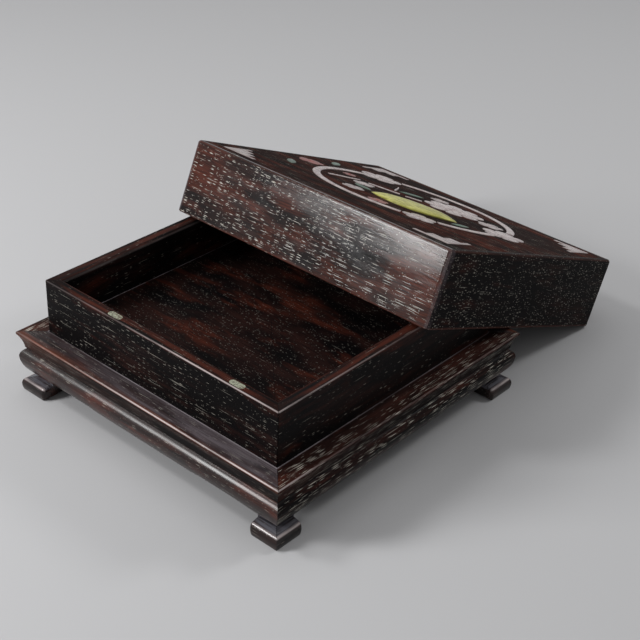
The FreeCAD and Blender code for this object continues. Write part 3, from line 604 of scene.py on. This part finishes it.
def dress_tray():
    for number, side in enumerate(SIDES):
        look = RIGHT_TRAY_LOOK if is_beside(side) else TRAY_LOOK
        marks = RIGHT_TRAY_MARKS if is_beside(side) else TRAY_MARKS
        material = wood(f"tray_{side}", look, box_space, side, marks, TRAY_SEED + number)
        paint(f"tray_{side}_wall", material)
    paint("tray_floor", wood("tray_floor", FLOOR_LOOK, box_space, "front", FLOOR_MARKS, FLOOR_SEED))


def dress_plinth():
    for number, side in enumerate(SIDES):
        look = RIGHT_LEDGE_LOOK if is_beside(side) else LEDGE_LOOK
        marks = RIGHT_LEDGE_MARKS if is_beside(side) else LEDGE_MARKS
        paint(f"ledge_{side}", wood(f"ledge_{side}", look, box_space, side, marks,
                                    LEDGE_SEED + number))
        look = RIGHT_APRON_LOOK if is_beside(side) else APRON_LOOK
        paint(f"apron_{side}", wood(f"apron_{side}", look, box_space, side, APRON_MARKS,
                                    APRON_SEED + number))


def dress_feet():
    for number, side in enumerate(SIDES):
        material = wood(f"feet_{side}", FOOT_LOOK, box_space, side, FOOT_MARKS, FOOT_SEED + number)
        for node in nodes:
            if node.endswith(f"_foot_{side}_wing"):
                paint(node, material)


def dress_hidden():
    material = wood("hidden_wood", FLOOR_LOOK, box_space, "front", (), HIDDEN_SEED)
    for node in HIDDEN_NODES:
        paint(node, material)


def dress_lid():
    for number, side in enumerate(SIDES):
        look = RIGHT_LID_LOOK if is_beside(side) else LID_LOOK
        material = wood(f"lid_{side}", look, lid_space, side, LID_MARKS, LID_SEED + number)
        paint(f"lid_{side}_wall", material)
    paint("lid_top_panel", wood("lid_top", TOP_LOOK, lid_space, "front", (), TOP_SEED))


def dress_pegs():
    """The pale pegs in the rim, mottled and dirty in places."""
    kit = new_material("bone")
    space = box_space(kit)
    mottled = kit.noise(space, 0.9, 4.0)
    dirty = kit.stretched(space, along=0.12, across=0.8)
    color = kit.mix(kit.fade(mottled, 0.35, 0.65), BONE_DARK, BONE_PALE)
    color = kit.mix(kit.fade(dirty, 0.50, 0.66, end=0.8), color, BONE_DIRT)
    roughness = kit.fade(mottled, 0.3, 0.7, start=0.35, end=0.55)
    material = kit.finish(color, roughness, mottled, bump=0.05, specular=0.4)
    paint("left_rim_peg", material)
    paint("right_rim_peg", material)


# Inlay

LID_PLACE = (Matrix.Translation((0, LID_Y * MM, LID_Z * MM)) @ Matrix.Rotation(-TILT, 4, "X")
             @ Matrix.Translation((0, 0, LID_HEIGHT * MM)))
SUNK = 0.4            # how deep the dressed inlay goes into its bed
EDGE_LIFT = 0.12      # height of an inlay piece at its edge
WELD = 0.002
SHARP_ANGLE = math.radians(42)

PETAL_POINTS = 12     # points round one petal, and rows from the middle to its edge
PETAL_ROWS = 10
PETAL_NOTCH = 0.72    # reach between petals, as a share of the reach at their middles
PETAL_RISE = 0.034    # as a share of the flower's radius
DOME_START = 0.12     # a petal's dome is part of a sine arch, which starts here and
DOME_SPAN = 0.80      # goes on for this share of it
PETAL_VEIN = 0.03
CREASE_DEPTH = 0.75   # share of the rise that a crease takes away
KNOB_RISE = 0.5
KNOB_REACH = 0.24     # as a share of the flower's radius

LEAF_COLUMNS = 8      # columns of points in half a leaf
LEAF_STEPS = 24
LEAF_TIP = 0.02       # half width of a leaf at its tips
LEAF_RISE = 0.085     # as a share of its width
LEAF_FALL = 0.9       # how far its blade falls off towards its edges, as a share
MIDRIB_DEPTH = 0.22
MIDRIB_WIDTH = 0.12   # as a share of half the leaf's width
LEAF_VEIN = 0.06
VEIN_WAVES = 9        # along a leaf
VEIN_SLANT = 0.45     # how far they lag at the leaf's edge, as a share of half its length

BAND_STEPS = 8        # steps across a rounded strip
RING_STEP = 2         # degrees
RING_RISE = 0.45
TWIG_STEPS = 16
TWIG_RISE = 0.40
TWIG_BEND = 0.25
KNOT_SWELL = 0.3
KNOT_PLACE = 0.4      # along the twig, as a share
KNOT_LENGTH = 0.06

# A corner piece is inset by each first number and raised by each second one in turn
SUNK_LINE = ((0.25, 0.16), (0.45, 0.0), (0.15, -0.16), (0.12, 0.0), (0.15, 0.16))


def polar(centre, radius, degrees):
    angle = math.radians(degrees)
    return centre + Vector((radius * math.cos(angle), radius * math.sin(angle), 0))


def place_at(distance, degrees):
    """A place given as a share of the ring's radius and an angle."""
    return polar(RING_CENTRE, distance * RING_RADIUS, degrees)


def outside(distance, degrees):
    """A place outside the ring, given as a share of the margin there."""
    return polar(RING_CENTRE, RING_RADIUS + distance * INLAY_MARGIN, degrees)


def petal_height(radius, share, across):
    """Height at a share of the way out, and across a petal from -1 to 1."""
    dome = math.sin(math.pi * (DOME_START + DOME_SPAN * share))
    crease = 1 - CREASE_DEPTH * abs(across) ** 3 * min(1.0, 2 * share)
    vein = PETAL_VEIN * math.cos(3 * math.pi * across) * share
    knob = KNOB_RISE * max(0.0, 1 - (share / KNOB_REACH) ** 2)
    return PETAL_RISE * radius * (dome * crease + vein) + knob


def blossom(mesh, centre, radius, petals, turn, lift=0.0):
    """A flower of domed petals with creases between them and a knob in the middle."""
    points = petals * PETAL_POINTS
    rows = []
    for step in range(1, PETAL_ROWS + 1):
        share = step / PETAL_ROWS
        row = []
        for index in range(points):
            across = 2 * (index % PETAL_POINTS) / PETAL_POINTS - 1
            reach = radius * (PETAL_NOTCH + (1 - PETAL_NOTCH) * math.sqrt(1 - across ** 2))
            point = polar(centre, reach * share, turn + 360 * index / points)
            point.z = EDGE_LIFT + lift + petal_height(radius, share, across)
            row.append(point)
        rows.append(row)
    close_rounds(mesh, rows)


def close_rounds(mesh, rows):
    """Skin closed rows of points from the middle outwards, and wall them in down to the bed."""
    low = [Vector((point.x, point.y, -SUNK)) for point in rows[-1]]
    grid = [[mesh.verts.new(point) for point in row] for row in [*rows, low]]
    for upper, lower in zip(grid, grid[1:]):
        for index in range(len(upper)):
            after = (index + 1) % len(upper)
            mesh.faces.new((upper[index], lower[index], lower[after], upper[after]))
    mesh.faces.new(list(reversed(grid[0])))
    mesh.faces.new(grid[-1])


def leaf_height(width, u, v):
    """Height at u along a leaf and v across it, both from -1 to 1."""
    rise = LEAF_RISE * width * math.sqrt(1 - LEAF_FALL * v * v) * (1 - u ** 4)
    midrib = MIDRIB_DEPTH * math.exp(-(v / MIDRIB_WIDTH) ** 2) * (1 - abs(u) ** 3)
    veins = LEAF_VEIN * math.cos(VEIN_WAVES * math.pi * (u - VEIN_SLANT * abs(v))) * abs(v)
    return rise - midrib + veins


def leaf(mesh, centre, length, width, turn, side=0):
    """A pointed leaf with a midrib. Side 1 or -1 makes only that half of it."""
    lengthwise = polar(Vector((0, 0, 0)), 1.0, turn)
    crosswise = Vector((-lengthwise.y, lengthwise.x, 0))
    first = 0 if side > 0 else -LEAF_COLUMNS
    last = 0 if side < 0 else LEAF_COLUMNS
    rows = []
    for column in range(first, last + 1):
        v = column / LEAF_COLUMNS
        row = []
        for step in range(LEAF_STEPS + 1):
            u = 2 * step / LEAF_STEPS - 1
            half = width / 2 * (1 - u * u) + LEAF_TIP
            point = centre + lengthwise * (u * length / 2) + crosswise * (v * half)
            point.z = EDGE_LIFT + leaf_height(width, u, v)
            row.append(point)
        rows.append(row)
    close_sheet(mesh, rows)


def close_sheet(mesh, rows):
    """Skin a sheet of points and wall it in down to the bed on all four sides."""
    grid = [[mesh.verts.new(point) for point in row] for row in rows]
    for first, second in zip(grid, grid[1:]):
        for index in range(len(first) - 1):
            mesh.faces.new((first[index], first[index + 1], second[index + 1], second[index]))
    rim = (grid[0][:-1] + [row[-1] for row in grid[:-1]] + grid[-1][:0:-1]
           + [row[0] for row in grid[:0:-1]])
    base = [mesh.verts.new((vertex.co.x, vertex.co.y, -SUNK)) for vertex in rim]
    for index, vertex in enumerate(rim):
        after = (index + 1) % len(rim)
        mesh.faces.new((vertex, base[index], base[after], rim[after]))
    mesh.faces.new(list(reversed(base)))


def band(mesh, middle_line, widths, rise):
    """A narrow rounded strip along a line of points, with a width at each."""
    rows = []
    for index, point in enumerate(middle_line):
        before = middle_line[max(index - 1, 0)]
        after = middle_line[min(index + 1, len(middle_line) - 1)]
        ahead = (after - before).normalized()
        across = Vector((-ahead.y, ahead.x, 0))
        row = []
        for step in range(BAND_STEPS + 1):
            v = 2 * step / BAND_STEPS - 1
            place = point + across * (v * widths[index] / 2)
            place.z = EDGE_LIFT + rise * math.sqrt(1 - v * v)
            row.append(place)
        rows.append(row)
    close_sheet(mesh, [list(column) for column in zip(*rows)])


def twig(mesh, start, end, thick, thin):
    """A tapering twig with a knot and a slight bend."""
    across = Vector((start.y - end.y, end.x - start.x, 0)).normalized()
    points = []
    widths = []
    for step in range(TWIG_STEPS + 1):
        share = step / TWIG_STEPS
        bend = TWIG_BEND * math.sin(2 * math.pi * share)
        points.append(start.lerp(end, share) + across * bend)
        knot = KNOT_SWELL * math.exp(-((share - KNOT_PLACE) / KNOT_LENGTH) ** 2)
        widths.append(thick + (thin - thick) * share + knot)
    band(mesh, points, widths, TWIG_RISE)


def corner_outline():
    """The stepped outline of a corner piece, seen from its own corner."""
    tread = (SPANDREL_LEG - SPANDREL_TIP) / SPANDREL_STEPS
    outline = [(0, 0), (SPANDREL_LEG, 0), (SPANDREL_LEG, SPANDREL_TIP)]
    for number in range(1, SPANDREL_STEPS + 1):
        across = SPANDREL_LEG - number * tread
        outline += [(across, SPANDREL_TIP + (number - 1) * tread),
                    (across, SPANDREL_TIP + number * tread)]
    outline.append((0, SPANDREL_LEG))
    return outline


def corner_piece(mesh, turn):
    """A stepped corner piece with a sunk line inside its edge."""
    corner = LID_HALF - SPANDREL_INSET
    spin = Matrix.Rotation(math.radians(turn), 3, "Z")
    base = [mesh.verts.new(spin @ Vector((corner - x, corner - y, -SUNK)))
            for x, y in corner_outline()]
    face = mesh.faces.new(base)
    face.normal_update()
    raised = bmesh.ops.extrude_face_region(mesh, geom=[face])["geom"]
    lifted = [part for part in raised if isinstance(part, bmesh.types.BMVert)]
    bmesh.ops.translate(mesh, verts=lifted, vec=(0, 0, SUNK + EDGE_LIFT))
    top = [part for part in raised if isinstance(part, bmesh.types.BMFace)]
    for thickness, depth in SUNK_LINE:
        bmesh.ops.inset_region(mesh, faces=top, thickness=thickness, depth=depth,
                               use_even_offset=True)


def inlay_object(node, material, build):
    """Make one inlay piece from build(mesh), in the lid's own place, and put it in place of its node,
    which it hides.
    """
    mesh = bmesh.new()
    build(mesh)
    bmesh.ops.remove_doubles(mesh, verts=mesh.verts, dist=WELD)
    bmesh.ops.recalc_face_normals(mesh, faces=mesh.faces)
    bmesh.ops.scale(mesh, verts=mesh.verts, vec=(MM, MM, MM))
    data = bpy.data.meshes.new(f"dressed_{node}")
    mesh.to_mesh(data)
    mesh.free()
    data.materials.append(material)
    data.shade_smooth()
    data.set_sharp_from_angle(angle=SHARP_ANGLE)
    piece = bpy.data.objects.new(f"dressed_{node}", data)
    bpy.context.scene.collection.objects.link(piece)
    data.transform(LID_PLACE)
    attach(piece, "lid")
    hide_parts(node)


# The three flowers on the ring, by their angle and radius. The ring stops beside them.
RING_FLOWERS = ((146, 13.0), (8, 12.0), (308, 9.5))
RING_GAP = 0.8
RING_MIDDLE = RING_RADIUS - RING_WIDTH / 2

UPPER_SHARE = 0.55    # each has a smaller flower on top, turned by half a petal
UPPER_TURN = 36
UPPER_LIFT = 0.30

# The large flower's layers: radius as a share of the ring's, petals, turn and lift
LARGE_PLACE = place_at(0.46, 62)
LARGE_LAYERS = ((0.30, 8, 10, 0.0), (0.20, 7, 30, 0.42), (0.11, 5, 0, 0.80))

# Flowers, buds and leaves inside the ring: the two numbers of place_at, the sizes as
# shares of the ring's radius, and the turn
SMALL_BLOSSOMS = ((0.50, 206, 0.11, 20), (0.68, 246, 0.11, 50), (0.76, 30, 0.13, 0),
                  (0.66, 100, 0.10, 30))
INNER_BUDS = ((0.80, 280, 0.10, 15), (0.78, 182, 0.07, 40))
INNER_LEAVES = ((0.52, 232, 0.24, 0.09, 350), (0.36, 128, 0.26, 0.10, 50),
                (0.80, 338, 0.22, 0.08, 70))
BROAD_LEAF_TURN = 18
BROAD_LEAF_GAP = 0.3  # half of the gap between its halves


def build_ring(mesh):
    for index, (angle, radius) in enumerate(RING_FLOWERS):
        next_angle, next_radius = RING_FLOWERS[index - 1]
        first = angle + math.degrees((radius + RING_GAP) / RING_MIDDLE)
        last = next_angle - math.degrees((next_radius + RING_GAP) / RING_MIDDLE)
        sweep = (last - first) % 360
        count = int(sweep / RING_STEP)
        points = [polar(RING_CENTRE, RING_MIDDLE, first + sweep * step / count)
                  for step in range(count + 1)]
        band(mesh, points, [RING_WIDTH] * len(points), RING_RISE)


def build_blossoms(mesh):
    for angle, radius in RING_FLOWERS:
        flower = polar(RING_CENTRE, RING_MIDDLE, angle)
        blossom(mesh, flower, radius, 5, angle)
        blossom(mesh, flower, UPPER_SHARE * radius, 5, angle + UPPER_TURN, UPPER_LIFT)
    for radius, petals, turn, lift in LARGE_LAYERS:
        blossom(mesh, LARGE_PLACE, radius * RING_RADIUS, petals, turn, lift)
    for distance, degrees, radius, turn in SMALL_BLOSSOMS:
        blossom(mesh, place_at(distance, degrees), radius * RING_RADIUS, 5, turn)


def build_broad_leaf(mesh):
    for side in (1, -1):
        centre = polar(place_at(0.42, 305), side * BROAD_LEAF_GAP, BROAD_LEAF_TURN + 90)
        leaf(mesh, centre, 0.86 * RING_RADIUS, 0.44 * RING_RADIUS, BROAD_LEAF_TURN, side)


def build_coral_buds(mesh):
    blossom(mesh, outside(0.42, 190), 0.34 * INLAY_MARGIN, 5, 0)
    for distance, degrees, radius, turn in INNER_BUDS:
        blossom(mesh, place_at(distance, degrees), radius * RING_RADIUS, 5, turn)


def build_small_leaves(mesh):
    leaf(mesh, outside(0.52, 168), 0.68 * INLAY_MARGIN, 0.235 * INLAY_MARGIN, 120)
    leaf(mesh, outside(0.57, 212), 0.73 * INLAY_MARGIN, 0.235 * INLAY_MARGIN, 310)
    for distance, degrees, length, width, turn in INNER_LEAVES:
        leaf(mesh, place_at(distance, degrees), length * RING_RADIUS, width * RING_RADIUS, turn)


def build_twigs(mesh):
    twig(mesh, place_at(0.84, 214), place_at(0.60, 190), thick=2.4, thin=1.8)
    twig(mesh, place_at(0.50, 190), place_at(0.20, 168), thick=1.8, thin=1.5)
    twig(mesh, place_at(0.14, 160), place_at(0.15, 92), thick=1.5, thin=1.2)
    twig(mesh, place_at(0.34, 158), place_at(0.60, 140), thick=1.4, thin=0.8)


def build_corners(mesh):
    for turn in (0, 90, 180, 270):
        corner_piece(mesh, turn)


STONE_DIRT = (0.055, 0.030, 0.022)
STONE_BUMP = 0.03


def stone(name, dark, pale, roughness):
    """A polished shell or stone, clouded and layered, with dirt where the carving is low."""
    kit = new_material(name)
    space = lid_space(kit)
    clouds = kit.noise(space, 0.16, 3.0)
    layers = kit.stretched(space, along=0.25, across=0.9, detail=5.0, rough=0.7)
    share = kit.times(kit.math("ADD", clouds, layers), 0.5)
    lift = kit.math("SUBTRACT", level(kit, space), LID_HEIGHT)
    grime = kit.times(kit.fade(lift, 0.05, 0.45, start=1.0, end=0.0),
                      kit.fade(layers, 0.3, 0.7, start=0.35, end=0.9))
    color = kit.mix(grime, kit.mix(kit.fade(share, 0.36, 0.64), dark, pale), STONE_DIRT)
    polish = kit.fade(layers, 0.3, 0.7, roughness, roughness + 0.15)
    return kit.finish(color, polish, layers, STONE_BUMP, specular=0.5, coat=0.3,
                      coat_roughness=0.15)


def dress_inlay():
    pearl = stone("pearl", (0.40, 0.30, 0.30), (0.68, 0.60, 0.58), 0.22)
    yellow = stone("yellow_stone", (0.36, 0.34, 0.055), (0.66, 0.64, 0.16), 0.25)
    coral = stone("coral", (0.22, 0.028, 0.022), (0.40, 0.085, 0.065), 0.28)
    green = stone("green_stone", (0.028, 0.072, 0.048), (0.10, 0.19, 0.13), 0.28)
    inlay_object("inlay_ring", pearl, build_ring)
    inlay_object("inlay_blossoms", pearl, build_blossoms)
    inlay_object("inlay_broad_leaf", yellow, build_broad_leaf)
    inlay_object("inlay_coral_buds", coral, build_coral_buds)
    inlay_object("inlay_small_leaves", green, build_small_leaves)
    inlay_object("inlay_twigs", pearl, build_twigs)
    inlay_object("inlay_corner_pieces", pearl, build_corners)


# Studio, in metres and degrees, with the camera's own sizes in millimetres

FLOOR_REACH = 6.0
FLOOR_COLOR = (0.56, 0.56, 0.57, 1.0)
WORLD_LIGHT = 0.26    # what the world gives to the object, and what is seen or mirrored of it
WORLD_SEEN = 0.48
LAMP_TARGET = Vector((0.0, 0.0, 0.04))
CAMERA_PLACE = (0.4053, -0.4857, 0.4128)
CAMERA_AZIMUTH = 40.471
CAMERA_ELEVATION = 31.793
CAMERA_ROLL = 2.58
SENSOR_WIDTH = 36.0
FOCAL_LENGTH = 76.96


def make_floor():
    kit = new_material("studio_floor")
    shader = kit.add("BsdfPrincipled", {"Base Color": FLOOR_COLOR, "Roughness": 0.9,
                                        "Specular IOR Level": 0.1})
    kit.add("OutputMaterial", {"Surface": shader.outputs[0]})
    data = bpy.data.meshes.new("studio_floor")
    corners = [(FLOOR_REACH * x, FLOOR_REACH * y, 0) for x, y in ((-1, -1), (1, -1), (1, 1), (-1, 1))]
    data.from_pydata(corners, [], [(0, 1, 2, 3)])
    data.materials.append(kit.owner)
    floor = bpy.data.objects.new("studio_floor", data)
    bpy.context.scene.collection.objects.link(floor)


def make_world():
    kit = Nodes(bpy.data.worlds.new("studio"))
    rays = kit.add("LightPath", {}).outputs
    mirrored = kit.math("MAXIMUM", rays["Is Glossy Ray"], rays["Is Transmission Ray"])
    seen = kit.math("MAXIMUM", rays["Is Camera Ray"], mirrored)
    strength = kit.add("MapRange", {"Value": seen, "To Min": WORLD_LIGHT, "To Max": WORLD_SEEN})
    background = kit.add("Background", {"Color": (1.0, 1.0, 1.0, 1.0),
                                        "Strength": strength.outputs["Result"]})
    kit.add("OutputWorld", {"Surface": background.outputs[0]})
    bpy.context.scene.world = kit.owner


def softbox(name, place, size, power, turn=0.0):
    """A soft lamp aimed at the object and turned about its own axis, in degrees."""
    data = bpy.data.lights.new(name, "AREA")
    data.shape = "RECTANGLE"
    data.size, data.size_y = size
    data.energy = power
    light = bpy.data.objects.new(name, data)
    light.location = place
    aimed = (LAMP_TARGET - Vector(place)).to_track_quat("-Z", "Y").to_matrix()
    light.rotation_euler = (aimed @ Matrix.Rotation(math.radians(turn), 3, "Z")).to_euler()
    light.visible_camera = False
    bpy.context.scene.collection.objects.link(light)


def make_lights():
    softbox("overhead", place=(-0.25, 0.10, 1.20), size=(0.80, 0.80), power=2.0)
    softbox("window", place=(-0.575, -0.938, 0.517), size=(0.26, 0.40), power=9.0, turn=-7.0)
    softbox("key", place=(-0.60, -0.48, 1.00), size=(0.22, 0.22), power=3.0)
    softbox("right_back", place=(0.45, 0.85, 0.95), size=(0.28, 0.28), power=3.4)


def camera_axes():
    """The camera's own axes as the columns of a matrix: right, up and back."""
    azimuth = math.radians(CAMERA_AZIMUTH)
    elevation = math.radians(CAMERA_ELEVATION)
    roll = math.radians(CAMERA_ROLL)
    back = Vector((math.sin(azimuth) * math.cos(elevation),
                   -math.cos(azimuth) * math.cos(elevation), math.sin(elevation)))
    right = Vector((0, 0, 1)).cross(back).normalized()
    up = back.cross(right)
    rolled_right = right * math.cos(roll) + up * math.sin(roll)
    rolled_up = up * math.cos(roll) - right * math.sin(roll)
    return Matrix((rolled_right, rolled_up, back)).transposed().to_4x4()


def make_camera():
    data = bpy.data.cameras.new("camera")
    data.sensor_width = SENSOR_WIDTH
    data.lens = FOCAL_LENGTH
    camera = bpy.data.objects.new("camera", data)
    camera.matrix_world = Matrix.Translation(CAMERA_PLACE) @ camera_axes()
    bpy.context.scene.collection.objects.link(camera)
    bpy.context.scene.camera = camera


dress_tray()
dress_plinth()
dress_feet()
dress_hidden()
dress_lid()
dress_pegs()
dress_inlay()
make_floor()
make_world()
make_lights()
make_camera()
bpy.context.scene.view_settings.view_transform = "Standard"
